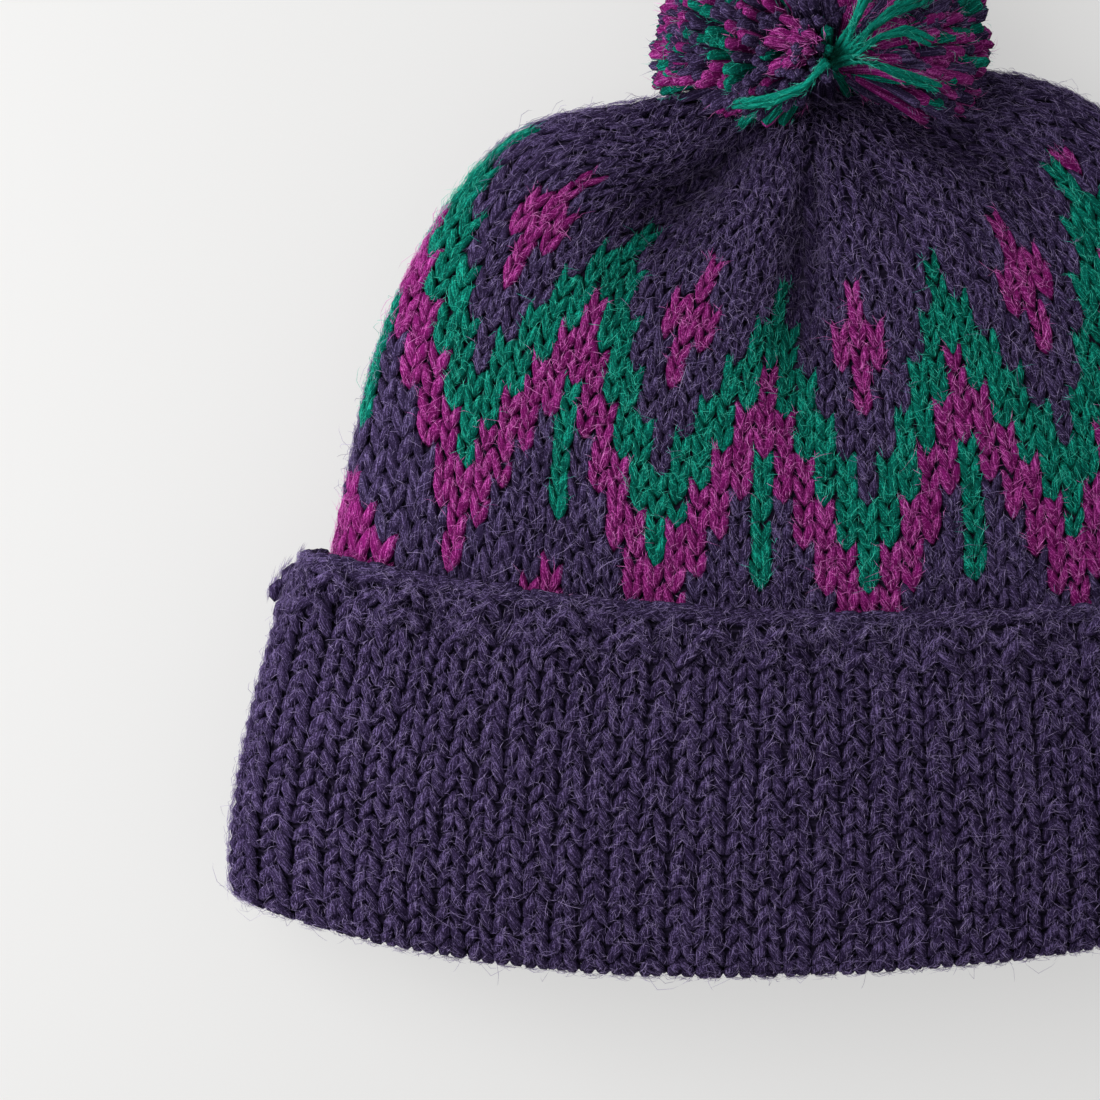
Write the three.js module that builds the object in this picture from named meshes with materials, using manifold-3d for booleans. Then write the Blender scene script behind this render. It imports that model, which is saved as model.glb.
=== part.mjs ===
// A knitted hat with a turned-up cuff and a pompom, lying on its back on a table.
// The mouth faces -Y, the pompom +Y and the front of the hat looks up along +Z. Millimetres.
import * as THREE from "three";
import { mergeVertices } from "three/addons/utils/BufferGeometryUtils.js";
import Module from "manifold-3d";

// Driving dimensions. Lengths along the hat are measured from a line just below the fold of the cuff.
const layer = 4; // thickness of one layer of knitting
const clearance = 0.4; // air between two pieces that touch
const foldAt = 2.2; // the fold at the middle of the front
const cuffHeight = 82; // the cast-on edge at the middle of the front
const lipHeight = 8.7; // how far the knitting of the fold runs up inside the mouth
const gatherAt = 198.7; // where the crown is drawn together under the pompom
const hollowEnd = 184; // where the inside of the crown closes
const ridge = { proud: 1, height: 9, slope: 2, rounding: 1 }; // the thick cast-on edge of the cuff
const boxiness = 2.35; // 2 is an elliptic section, more is squarer
const settle = 6; // the soft underside would sag this far below the table, so it lies flat on it
const pompomCentre = new THREE.Vector3(0, 205.5, 31);
const pompomRadius = 37.5;
const pompomCore = 32; // the dense ball that the locks stand on
const lockCount = 60;
const lockRadius = 6.2;
const lockSweep = { share: 0.45, from: 0.3, to: 0.85 }; // locks that face the crown are shorter by this share
const tieKnot = new THREE.Vector3(0.5, 201.5, 45); // where the tie yarn is knotted
const tieKnotRadius = 4.2;
const tieYarn = 1.5; // radius of the doubled tie yarn
const cleft = { depth: 30, mouth: 9, lean: 0.32 }; // the parting above the knot
const hemHeight = 20; // strands lower than this run on under the end of the crown
const facets = { round: 52, outside: 22, inside: 14, cuff: 9, ridge: 3, fold: 4, yarn: 7 }; // per course

// Rows of the crown, mouth to gather. A row's ends lie further up the hat than its middle, by bow,
// and its course between is set by bowPower and bowRound, as in bowShape below.
const crownRows = [
  { along: 10.1, halfWidth: 125.3, bow: 19, bowPower: 2.3, bowRound: 1, top: 42.7, edge: 23.7, floor: 5.2 },
  { along: 26, halfWidth: 121.5, bow: 22.5, bowPower: 2.3, bowRound: 1.1, top: 44.8, edge: 23, floor: 4.9 },
  { along: 47, halfWidth: 114, bow: 27.5, bowPower: 2.4, bowRound: 1.4, top: 46.5, edge: 23, floor: 5.4 },
  { along: 66, halfWidth: 108.2, bow: 32, bowPower: 2.4, bowRound: 1.8, top: 47, edge: 23, floor: 5.8 },
  { along: 84, halfWidth: 104, bow: 35, bowPower: 2.4, bowRound: 1.9, top: 47, edge: 22.6, floor: 5.4 },
  { along: 102, halfWidth: 99.4, bow: 36, bowPower: 2.4, bowRound: 1.9, top: 46.8, edge: 21.5, floor: 0 },
  { along: 122, halfWidth: 91.5, bow: 36.5, bowPower: 2.4, bowRound: 1.9, top: 45.6, edge: 21, floor: 0 },
  { along: 138, halfWidth: 82, bow: 37, bowPower: 2.4, bowRound: 1.9, top: 43.8, edge: 20.5, floor: 0 },
  { along: 150, halfWidth: 71.5, bow: 38, bowPower: 2.4, bowRound: 1.8, top: 42, edge: 20, floor: 0 },
  { along: 159, halfWidth: 60.5, bow: 36, bowPower: 2.3, bowRound: 1.6, top: 40, edge: 20, floor: 0.5 },
  { along: 171, halfWidth: 44.5, bow: 28.5, bowPower: 2.2, bowRound: 1.2, top: 36.6, edge: 19.5, floor: 3 },
  { along: 183, halfWidth: 27.5, bow: 18.5, bowPower: 2, bowRound: 0.9, top: 31.6, edge: 19.5, floor: 7 },
  { along: 192, halfWidth: 13, bow: 8, bowPower: 2, bowRound: 0.8, top: 26.4, edge: 19.5, floor: 12.4 },
  { along: gatherAt, halfWidth: 0, bow: 0, bowPower: 2, bowRound: 0.8, top: 20, edge: 19.5, floor: 19 },
];

// Rows of the outside of the cuff, fold to cast-on edge.
const cuffRows = [
  { along: -1, halfWidth: 130.6, bow: 20.5, bowPower: 2.3, bowRound: 1, top: 47.2, edge: 24, floor: 0 },
  { along: 7, halfWidth: 131.6, bow: 19.4, bowPower: 2.3, bowRound: 1, top: 48.2, edge: 24, floor: 0 },
  { along: 22, halfWidth: 131.2, bow: 17, bowPower: 2.2, bowRound: 1, top: 50.2, edge: 24, floor: 0 },
  { along: 42, halfWidth: 128, bow: 14.2, bowPower: 2.1, bowRound: 1, top: 52, edge: 24, floor: 0 },
  { along: 60, halfWidth: 123.4, bow: 12.4, bowPower: 2, bowRound: 1, top: 52.6, edge: 24, floor: 0 },
  { along: 73, halfWidth: 119.6, bow: 11.5, bowPower: 2, bowRound: 1, top: 52.2, edge: 24, floor: 0 },
  { along: cuffHeight, halfWidth: 115.4, bow: 11.2, bowPower: 2, bowRound: 1, top: 51.8, edge: 24, floor: 0 },
];

// How far the rows of both climb from left to right, per unit of width.
const leanRows = [
  { along: 0, lean: 0.042 },
  { along: 40, lean: 0.015 },
  { along: 82, lean: -0.019 },
  { along: 120, lean: -0.01 },
  { along: 155, lean: 0.02 },
  { along: 171, lean: 0.075 },
  { along: 185, lean: 0.088 },
  { along: gatherAt, lean: 0.09 },
];

// Folds in the front of the crown: valleys that run down from the gather.
// across is the place in the row from -1, left, to 1, right; the depth fades from deepest to both ends.
const crownFolds = [
  { across: -0.56, width: 0.13, depth: 9.5, start: 126, deepest: 166, end: 197 },
  { across: -0.07, width: 0.09, depth: 5.5, start: 110, deepest: 160, end: 197 },
  { across: 0.66, width: 0.14, depth: 5.5, start: 128, deepest: 168, end: 197 },
];

// The hem of the pompom where it lies over the crown, seen from above: two lobes, parted below the knot.
const pompomHem = [
  { across: -42, along: 201 },
  { across: -31, along: 197.5 },
  { across: -21, along: 190 },
  { across: -12, along: 189.5 },
  { across: -4, along: 194 },
  { across: 0.5, along: 197.5 },
  { across: 8, along: 196 },
  { across: 24, along: 192.5 },
  { across: 29, along: 190.5 },
  { across: 37, along: 199 },
  { across: 42, along: 201 },
];

// Loose ends of the tie yarn, as the places in plan that each one passes over.
const tieEnds = [
  [[3, 205], [6.5, 212], [9.5, 221]],
  [[5, 203], [11, 209], [20.5, 213.5]],
  [[6, 202], [14, 206], [21.5, 204]],
  [[5, 199.5], [14, 197], [23.5, 194.5]],
  [[-2, 198.5], [-6, 194], [-13, 191.5], [-21, 191]],
];

const colours = { yarn: 0x2f2540, tie: 0x067a62 };

const wasm = await Module();
wasm.setup();

// Closed three.js geometry to a solid that can be joined and cut, and back.
function solid(geometry) {
  const bare = geometry.clone();
  bare.deleteAttribute("normal");
  bare.deleteAttribute("uv");
  const merged = mergeVertices(bare, 1e-4);
  const vertProperties = new Float32Array(merged.attributes.position.array);
  const triVerts = new Uint32Array(merged.index.array);
  return new wasm.Manifold(new wasm.Mesh({ numProp: 3, vertProperties, triVerts }));
}

function geometryOf(body) {
  const mesh = body.getMesh();
  const geometry = new THREE.BufferGeometry();
  geometry.setAttribute("position", new THREE.Float32BufferAttribute(mesh.vertProperties, 3));
  geometry.setIndex([...mesh.triVerts]);
  geometry.computeVertexNormals();
  return geometry;
}

// A table of rows as one smooth function of the distance along the hat.
function rowsOf(table) {
  const { along, ...columns } = table[0];
  const names = Object.keys(columns);
  const values = table.flatMap((row) => names.map((name) => row[name]));
  const places = table.map((row) => row.along);
  const curve = new THREE.CubicInterpolant(places, values, names.length);
  return (place) => {
    const result = curve.evaluate(place);
    return Object.fromEntries(names.map((name, i) => [name, result[i]]));
  };
}

const power = (value, exponent) => Math.sign(value) * Math.abs(value) ** exponent;

function foldDepth(folds, across, along) {
  let depth = 0;
  for (const fold of folds) {
    const side = Math.exp(-(((across - fold.across) / fold.width) ** 2));
    const rise = THREE.MathUtils.smoothstep(along, fold.start, fold.deepest);
    const fall = 1 - THREE.MathUtils.smoothstep(along, fold.deepest, fold.end);
    depth += fold.depth * side * rise * fall;
  }
  return depth;
}

const leanAt = rowsOf(leanRows);

// How far up its bow a row has come, from 0 at its middle to 1 at its ends.
const bowShape = (row, across) => 1 - (1 - Math.abs(across) ** row.bowPower) ** row.bowRound;

// A point of a layer's outside: angle 0 is the right edge, a quarter turn the middle of the front.
function outerPoint(rowAt, folds, along, angle) {
  const row = rowAt(along);
  const across = power(Math.cos(angle), 2 / boxiness);
  const lift = power(Math.sin(angle), 2 / boxiness);
  const x = row.halfWidth * across;
  const y = along + row.bow * bowShape(row, across) + leanAt(along).lean * x;
  let z = row.edge + (row.edge - row.floor + settle) * lift;
  z = Math.max(z, row.floor, 0);
  if (lift > 0) {
    z = row.edge + (row.top - row.edge) * lift - foldDepth(folds, across, along) * lift;
  }
  return new THREE.Vector3(x, y, z);
}

// The same point moved into the knitting by depth, square to the surface.
function layerPoint(rowAt, folds, along, depth, angle) {
  const step = 1e-3;
  const point = outerPoint(rowAt, folds, along, angle);
  const round = outerPoint(rowAt, folds, along, angle + step);
  round.sub(outerPoint(rowAt, folds, along, angle - step));
  const up = outerPoint(rowAt, folds, along + step, angle);
  up.sub(outerPoint(rowAt, folds, along - step, angle));
  point.addScaledVector(round.cross(up).normalize(), depth);
  point.z = Math.max(point.z, 0);
  return point;
}

// The angle of a column of facets, counted clockwise from the right edge as the hat is seen from its mouth.
const columnAngle = (column) => (-2 * Math.PI * (column % facets.round)) / facets.round;

// A layer closed at both ends, from a profile of places along the hat and depths into the knitting.
function closedLayer(rowAt, folds, profile) {
  const stacks = profile.length - 1;
  const geometry = new THREE.SphereGeometry(1, facets.round, stacks);
  const { position, uv } = geometry.attributes;
  const poles = [new THREE.Vector3(), new THREE.Vector3()];
  const ring = (row, column) => {
    const { along, depth } = profile[row];
    return layerPoint(rowAt, folds, along, depth, columnAngle(column));
  };
  for (let column = 0; column < facets.round; column++) {
    poles[0].addScaledVector(ring(0, column), 1 / facets.round);
    poles[1].addScaledVector(ring(stacks, column), 1 / facets.round);
  }
  for (let i = 0; i < position.count; i++) {
    const row = Math.round((1 - uv.getY(i)) * stacks);
    const column = Math.round(uv.getX(i) * facets.round);
    const point = row === 0 ? poles[0] : row === stacks ? poles[1] : ring(row, column);
    position.setXYZ(i, point.x, point.y, point.z);
  }
  return geometry;
}

// A layer that runs round the hat as a closed band, from a closed profile.
function bandLayer(rowAt, profile) {
  const rows = profile.length;
  const geometry = new THREE.TorusGeometry(2, 1, rows, facets.round);
  const { position, uv } = geometry.attributes;
  for (let i = 0; i < position.count; i++) {
    const { along, depth } = profile[Math.round(uv.getY(i) * rows) % rows];
    const column = Math.round(uv.getX(i) * facets.round);
    const point = layerPoint(rowAt, [], along, depth, columnAngle(column));
    position.setXYZ(i, point.x, point.y, point.z);
  }
  return geometry;
}

// Places along the hat at one depth in the knitting.
function course(from, to, count, depth) {
  return Array.from({ length: count }, (_, i) => ({
    along: THREE.MathUtils.lerp(from, to, i / (count - 1)),
    depth,
  }));
}

// The outside of the crown, gather to rim; tipStep is the length of its last, pointed ring.
function crownOutside(depth, tipStep = 0.5) {
  return course(gatherAt - tipStep, crownRows[0].along, facets.outside, depth);
}

function crownGeometry() {
  const outside = [{ along: gatherAt, depth: 0 }, ...crownOutside(0)];
  const inside = course(crownRows[0].along, hollowEnd, facets.inside, layer);
  return closedLayer(rowsOf(crownRows), crownFolds, [...outside, ...inside, inside.at(-1)]);
}

// The space that the crown takes up, with room to spare, for what is cut to sit on it.
function crownRoom() {
  const tip = { along: gatherAt + 2 * clearance, depth: 0 };
  const outside = [tip, ...crownOutside(-1.5 * clearance)];
  return solid(closedLayer(rowsOf(crownRows), crownFolds, [...outside, outside.at(-1)]));
}

// The cuff's section: the turned-up layer, its thick cast-on ridge, the lip inside the mouth and the fold.
function cuffGeometry() {
  const foldThickness = 2 * layer + clearance;
  const foldRadius = foldThickness / 2;
  const foldTop = foldAt + foldRadius;
  const ridgeFoot = cuffHeight - ridge.height;
  const arc = new THREE.EllipseCurve(foldTop, foldRadius, foldRadius, foldRadius, Math.PI / 2, 1.5 * Math.PI);
  const fold = arc.getPoints(facets.fold).slice(0, -1);
  const profile = [
    ...course(foldTop, ridgeFoot, facets.cuff, 0),
    ...course(ridgeFoot + ridge.slope, cuffHeight - ridge.slope, facets.ridge, -ridge.proud),
    { along: cuffHeight, depth: ridge.rounding },
    ...course(cuffHeight - ridge.rounding, lipHeight, facets.cuff, layer),
    { along: lipHeight, depth: foldThickness },
    ...fold.map(({ x, y }) => ({ along: x, depth: y })),
  ];
  return bandLayer(rowsOf(cuffRows), profile);
}

// Evenly spread directions, one for each lock of the pompom.
function lockDirection(index) {
  const goldenAngle = Math.PI * (3 - Math.sqrt(5));
  const height = 1 - (2 * index + 1) / lockCount;
  const radius = Math.sqrt(1 - height * height);
  const turn = index * goldenAngle;
  return new THREE.Vector3(radius * Math.cos(turn), radius * Math.sin(turn), height);
}

// Locks that point at the crown are swept aside, so they reach less far.
function lockReach(direction) {
  const facing = THREE.MathUtils.smoothstep(-direction.y, lockSweep.from, lockSweep.to);
  return pompomRadius * (1 - lockSweep.share * facing);
}

function lock(index) {
  const direction = lockDirection(index);
  const length = lockReach(direction) - 2 * lockRadius;
  const geometry = new THREE.CapsuleGeometry(lockRadius, length, 2, 5);
  const upright = new THREE.Vector3(0, 1, 0);
  geometry.translate(0, length / 2 + lockRadius, 0);
  geometry.applyQuaternion(new THREE.Quaternion().setFromUnitVectors(upright, direction));
  geometry.translate(...pompomCentre);
  return solid(geometry);
}

function pompomCoreBall() {
  const geometry = new THREE.IcosahedronGeometry(1, 3);
  const { position } = geometry.attributes;
  const point = new THREE.Vector3();
  for (let i = 0; i < position.count; i++) {
    point.fromBufferAttribute(position, i).normalize();
    point.multiplyScalar((pompomCore / pompomRadius) * lockReach(point)).add(pompomCentre);
    position.setXYZ(i, point.x, point.y, point.z);
  }
  return solid(geometry);
}

// The parting above the knot, an upturned cone that leans to the right.
function cleftSpace() {
  const geometry = new THREE.ConeGeometry(cleft.mouth, cleft.depth, 10);
  geometry.rotateX(-Math.PI / 2);
  geometry.translate(0, 0, cleft.depth / 2);
  geometry.rotateY(cleft.lean);
  geometry.translate(tieKnot.x, tieKnot.y, tieKnot.z - tieKnotRadius);
  return solid(geometry);
}

// Everything on the crown's side of the hem, down to the height where strands run under the crown.
function hemSpace() {
  const corners = pompomHem.map((place) => new THREE.Vector2(place.across, place.along));
  const behind = pompomCentre.y - 2 * pompomRadius;
  corners.push(new THREE.Vector2(corners.at(-1).x, behind), new THREE.Vector2(corners[0].x, behind));
  const options = { depth: 2 * pompomRadius, bevelEnabled: false };
  const geometry = new THREE.ExtrudeGeometry(new THREE.Shape(corners), options);
  geometry.translate(0, 0, hemHeight);
  return solid(geometry);
}

function pompomBody() {
  const size = 4 * pompomRadius;
  const table = new THREE.BoxGeometry(size, size, size);
  table.translate(pompomCentre.x, pompomCentre.y, -size / 2);
  const locks = Array.from({ length: lockCount }, (_, i) => lock(i));
  const body = locks
    .reduce((joined, piece) => joined.add(piece), pompomCoreBall())
    .subtract(cleftSpace())
    .subtract(hemSpace())
    .subtract(solid(table))
    .subtract(crownRoom())
    .subtract(tieBody(clearance));
  // The cuts can trim off slivers of a lock, and those are dropped.
  return body.decompose().reduce((best, part) => (part.volume() > best.volume() ? part : best));
}

// A place on the pompom's upper side, lifted so that yarn lies on the locks.
function onPompom(x, y) {
  const radius = pompomRadius + tieYarn;
  const away = (x - pompomCentre.x) ** 2 + (y - pompomCentre.y) ** 2;
  return new THREE.Vector3(x, y, pompomCentre.z + Math.sqrt(radius * radius - away));
}

function tieBody(extra = 0) {
  const knot = new THREE.IcosahedronGeometry(tieKnotRadius + extra, 1);
  knot.translate(...tieKnot);
  const section = new THREE.Shape().absarc(0, 0, tieYarn + extra, 0, 2 * Math.PI);
  let body = solid(knot);
  for (const places of tieEnds) {
    const path = new THREE.CatmullRomCurve3([tieKnot, ...places.map(([x, y]) => onPompom(x, y))]);
    const options = { steps: facets.yarn, curveSegments: 3, bevelEnabled: false, extrudePath: path };
    body = body.add(solid(new THREE.ExtrudeGeometry(section, options)));
  }
  return body;
}

function piece(name, geometry, color) {
  const material = new THREE.MeshStandardMaterial({ color, roughness: 0.95, metalness: 0 });
  const mesh = new THREE.Mesh(geometry, material);
  mesh.name = name;
  return mesh;
}

const hat = new THREE.Group();
hat.add(piece("crown", crownGeometry(), colours.yarn));
hat.add(piece("cuff", cuffGeometry(), colours.yarn));
hat.add(piece("pompom", geometryOf(pompomBody()), colours.yarn));
hat.add(piece("pompom_tie", geometryOf(tieBody()), colours.tie));

// The origin is on the table, below the middle of the whole hat.
const middle = new THREE.Box3().setFromObject(hat).getCenter(new THREE.Vector3());
hat.position.set(-middle.x, -middle.y, 0);

const group = new THREE.Group();
group.add(hat);
export default group;
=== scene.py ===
import math

import bmesh
import bpy
import numpy as np
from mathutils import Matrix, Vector
from mathutils.bvhtree import BVHTree


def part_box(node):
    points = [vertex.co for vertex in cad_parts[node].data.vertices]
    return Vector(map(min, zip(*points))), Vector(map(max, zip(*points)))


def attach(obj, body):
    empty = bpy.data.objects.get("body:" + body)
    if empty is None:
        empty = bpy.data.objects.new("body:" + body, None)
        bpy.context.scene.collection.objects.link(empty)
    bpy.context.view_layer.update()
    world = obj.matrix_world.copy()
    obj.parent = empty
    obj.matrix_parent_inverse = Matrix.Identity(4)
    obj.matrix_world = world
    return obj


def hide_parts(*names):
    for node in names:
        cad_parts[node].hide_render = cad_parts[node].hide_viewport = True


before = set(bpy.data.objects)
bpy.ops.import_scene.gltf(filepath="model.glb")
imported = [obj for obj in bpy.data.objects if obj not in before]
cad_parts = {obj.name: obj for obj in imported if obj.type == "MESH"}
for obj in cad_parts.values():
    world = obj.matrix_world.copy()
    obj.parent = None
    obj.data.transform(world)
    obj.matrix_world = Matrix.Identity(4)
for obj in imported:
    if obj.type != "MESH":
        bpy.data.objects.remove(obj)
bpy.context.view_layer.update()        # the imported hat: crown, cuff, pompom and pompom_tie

mm = 0.001
scene = bpy.context.scene
rng = np.random.default_rng(58)

# The form of the hat, in mm, as its solids have it; lengths along it start just below the fold of the cuff
hatForm = {"layer": 4.0, "boxiness": 2.35, "settle": 6.0, "gather": 198.7, "foldAt": 2.2, "foldRadius": 4.2,
           "facets": 52, "turnSteps": 1440, "offTable": 0.2}

# Columns: along, half width, bow of the ends, power and roundness of the bow, top, edge and underside heights
crownRows = np.array((
    (10.1, 125.3, 19.0, 2.3, 1.0, 42.7, 23.7, 5.2),
    (26.0, 121.5, 22.5, 2.3, 1.1, 44.8, 23.0, 4.9),
    (47.0, 114.0, 27.5, 2.4, 1.4, 46.5, 23.0, 5.4),
    (66.0, 108.2, 32.0, 2.4, 1.8, 47.0, 23.0, 5.8),
    (84.0, 104.0, 35.0, 2.4, 1.9, 47.0, 22.6, 5.4),
    (102.0, 99.4, 36.0, 2.4, 1.9, 46.8, 21.5, 0.0),
    (122.0, 91.5, 36.5, 2.4, 1.9, 45.6, 21.0, 0.0),
    (138.0, 82.0, 37.0, 2.4, 1.9, 43.8, 20.5, 0.0),
    (150.0, 71.5, 38.0, 2.4, 1.8, 42.0, 20.0, 0.0),
    (159.0, 60.5, 36.0, 2.3, 1.6, 40.0, 20.0, 0.5),
    (171.0, 44.5, 28.5, 2.2, 1.2, 36.6, 19.5, 3.0),
    (183.0, 27.5, 18.5, 2.0, 0.9, 31.6, 19.5, 7.0),
    (192.0, 13.0, 8.0, 2.0, 0.8, 26.4, 19.5, 12.4),
    (198.7, 0.0, 0.0, 2.0, 0.8, 20.0, 19.5, 19.0),
))
cuffRows = np.array((
    (-1.0, 130.6, 20.5, 2.3, 1.0, 47.2, 24.0, 0.0),
    (7.0, 131.6, 19.4, 2.3, 1.0, 48.2, 24.0, 0.0),
    (22.0, 131.2, 17.0, 2.2, 1.0, 50.2, 24.0, 0.0),
    (42.0, 128.0, 14.2, 2.1, 1.0, 52.0, 24.0, 0.0),
    (60.0, 123.4, 12.4, 2.0, 1.0, 52.6, 24.0, 0.0),
    (73.0, 119.6, 11.5, 2.0, 1.0, 52.2, 24.0, 0.0),
    (82.0, 115.4, 11.2, 2.0, 1.0, 51.8, 24.0, 0.0),
))
leanRows = np.array((        # along, and how far a row climbs to the right for each unit of width
    (0.0, 0.042),
    (40.0, 0.015),
    (82.0, -0.019),
    (120.0, -0.01),
    (155.0, 0.02),
    (171.0, 0.075),
    (185.0, 0.088),
    (198.7, 0.09),
))
crownFolds = (        # valleys down from the gather, across from -1 at the left to 1 at the right
    {"across": -0.56, "width": 0.13, "depth": 9.5, "start": 126.0, "deepest": 166.0, "end": 197.0},
    {"across": -0.07, "width": 0.09, "depth": 5.5, "start": 110.0, "deepest": 160.0, "end": 197.0},
    {"across": 0.66, "width": 0.14, "depth": 5.5, "start": 128.0, "deepest": 168.0, "end": 197.0},
)
creases = (        # where the stitches pinch together at the bottom of the valleys
    {"across": -0.57, "width": 0.055, "depth": 3.5, "start": 138.0, "deepest": 172.0, "end": 198.0},
    {"across": -0.07, "width": 0.06, "depth": 2.6, "start": 112.0, "deepest": 158.0, "end": 198.0},
    {"across": 0.3, "width": 0.08, "depth": 2.0, "start": 150.0, "deepest": 176.0, "end": 198.0},
    {"across": 0.67, "width": 0.06, "depth": 2.5, "start": 138.0, "deepest": 172.0, "end": 198.0},
)


def smoothStep(value, low, high):
    part = np.clip((value - low) / (high - low), 0, 1)
    return part * part * (3 - 2 * part)


def signedPower(value, exponent):
    return np.sign(value) * np.abs(value) ** exponent


def unit(vectors):
    return vectors / np.maximum(np.linalg.norm(vectors, axis=-1, keepdims=True), 1e-9)


def rowAt(rows, along):        # smooth values of a table's columns at any place along the hat
    places = rows[:, 0]
    slope = np.diff(rows, axis=0) / np.diff(places)[:, None]
    tangent = np.vstack((slope[:1], (slope[:-1] + slope[1:]) / 2, slope[-1:]))
    i = np.clip(np.searchsorted(places, along) - 1, 0, len(places) - 2)
    span = (places[i + 1] - places[i])[..., None]
    p = np.clip((along - places[i]) / span[..., 0], 0, 1)[..., None]
    start, end = rows[i], rows[i + 1]
    value = start * (1 + 2 * p) * (1 - p) ** 2 + end * p * p * (3 - 2 * p)
    value = value + span * (tangent[i] * p * (1 - p) ** 2 - tangent[i + 1] * p * p * (1 - p))
    return np.moveaxis(value, -1, 0)[1:]


def foldDepth(folds, across, along):
    depth = np.zeros_like(across)
    for fold in folds:
        side = np.exp(-(((across - fold["across"]) / fold["width"]) ** 2))
        rise = smoothStep(along, fold["start"], fold["deepest"])
        fall = 1 - smoothStep(along, fold["deepest"], fold["end"])
        depth = depth + fold["depth"] * side * rise * fall
    return depth


# A point of the surface: angle 0 is the right edge, a quarter turn the middle of the front
def hatPoint(rows, folds, along, angle):
    along, angle = np.broadcast_arrays(np.asarray(along, float), np.asarray(angle, float))
    halfWidth, bow, bowPower, bowRound, top, edge, floor = rowAt(rows, along)
    across = signedPower(np.cos(angle), 2 / hatForm["boxiness"])
    lift = signedPower(np.sin(angle), 2 / hatForm["boxiness"])
    x = halfWidth * across
    lean = rowAt(leanRows, along)[0]
    bowed = 1 - (1 - np.minimum(np.abs(across), 1) ** bowPower) ** bowRound
    y = along + bow * bowed + lean * x
    under = np.maximum(edge + (edge - floor + hatForm["settle"]) * lift, np.maximum(floor, 0))
    over = edge + (top - edge - foldDepth(folds, across, along)) * lift
    return np.stack((x, y, np.where(lift > 0, over, under)), axis=-1)


def layerPoint(rows, folds, along, depth, angle):        # sunk into the knitting, square to its surface
    step = 1e-3
    around = hatPoint(rows, folds, along, angle + step) - hatPoint(rows, folds, along, angle - step)
    up = hatPoint(rows, folds, along + step, angle) - hatPoint(rows, folds, along - step, angle)
    normal = unit(np.cross(up, around))
    return hatPoint(rows, folds, along, angle) - np.asarray(depth)[..., None] * normal


def startY():        # where the frame has the start of the hat's lengths, from the lowest point of the fold
    turn = -math.tau * np.arange(hatForm["facets"]) / hatForm["facets"]
    lowest = layerPoint(cuffRows, (), hatForm["foldAt"], hatForm["foldRadius"], turn)[:, 1].min()
    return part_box("cuff")[0].y - lowest * mm


hatStart = startY()


def inFrame(points):        # mm along the hat to metres in the frame, kept off the table
    placed = np.array(points) * mm
    placed[..., 1] += hatStart
    placed[..., 2] = np.maximum(placed[..., 2], hatForm["offTable"] * mm)
    return placed


# Shader maths: one value socket with Python's operators
class Shade:
    def __init__(self, tree, socket):
        self.tree = tree
        self.socket = socket

    def maths(self, operation, *values):
        node = self.tree.nodes.new("ShaderNodeMath")
        node.operation = operation
        for slot, value in zip(node.inputs, values):
            if isinstance(value, Shade):
                self.tree.links.new(value.socket, slot)
            else:
                slot.default_value = value
        return Shade(self.tree, node.outputs[0])

    def __add__(self, other):
        return self.maths("ADD", self, other)

    def __radd__(self, other):
        return self.maths("ADD", other, self)

    def __sub__(self, other):
        return self.maths("SUBTRACT", self, other)

    def __rsub__(self, other):
        return self.maths("SUBTRACT", other, self)

    def __mul__(self, other):
        return self.maths("MULTIPLY", self, other)

    def __rmul__(self, other):
        return self.maths("MULTIPLY", other, self)

    def sine(self):
        return self.maths("SINE", self)


class Finish:        # a material under construction
    def __init__(self, name):
        self.material = bpy.data.materials.new(name)
        self.material.use_nodes = True
        self.tree = self.material.node_tree
        self.tree.nodes.clear()

    def node(self, kind, settings=None, sockets=None, output=0):
        node = self.tree.nodes.new(kind)
        for name, value in (settings or {}).items():
            setattr(node, name, value)
        for name, value in (sockets or {}).items():
            if isinstance(value, Shade):
                self.tree.links.new(value.socket, node.inputs[name])
            else:
                node.inputs[name].default_value = value
        return Shade(self.tree, node.outputs[output]) if node.outputs else None

    def mix(self, factor, first, second):        # two colours or colour sockets
        return self.node("ShaderNodeMix", {"data_type": "RGBA"}, {0: factor, 6: first, 7: second}, 2)

    def noise(self, place, scale, detail, roughness=0.5):
        return self.node("ShaderNodeTexNoise", {}, {
            "Vector": place, "Scale": scale, "Detail": detail, "Roughness": roughness})

    def yarnPlace(self):        # how far round and along its yarn a point is
        place = self.node("ShaderNodeUVMap", {"uv_map": "yarn"})
        return [self.node("ShaderNodeSeparateXYZ", {}, {"Vector": place}, output) for output in (0, 1)]

    def surface(self, **sockets):
        named = {name.replace("_", " "): value for name, value in sockets.items()}
        shader = self.node("ShaderNodeBsdfPrincipled", {}, named)
        self.node("ShaderNodeOutputMaterial", {}, {"Surface": shader})
        return self.material


def colour(red, green, blue):
    return (red, green, blue, 1.0)


yarns = {        # shadowed, middle and lit colours of each wool, and its palest loose fibres
    "purple": {"slot": "purple_wool", "dark": colour(0.008, 0.004, 0.02), "mid": colour(0.042, 0.026, 0.08),
               "light": colour(0.175, 0.127, 0.295), "pale": colour(0.36, 0.29, 0.5)},
    "magenta": {"slot": "magenta_wool", "dark": colour(0.09, 0.001, 0.055), "mid": colour(0.25, 0.01, 0.165),
                "light": colour(0.62, 0.1, 0.46), "pale": colour(0.85, 0.3, 0.7)},
    "green": {"slot": "green_wool", "dark": colour(0.0, 0.045, 0.036), "mid": colour(0.001, 0.145, 0.108),
              "light": colour(0.012, 0.46, 0.33), "pale": colour(0.08, 0.66, 0.5)},
}
twist = {"plies": 2, "turns": 2.2, "across": 30.0, "slant": 16.0, "length": 4.0, "shift": 40.0}
woolLook = {"fineScale": 2600.0, "patchScale": 60.0, "even": 0.4, "darken": 0.1, "fibre": 5.5, "fine": 3.0,
            "depth": 0.9 * mm}


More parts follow.
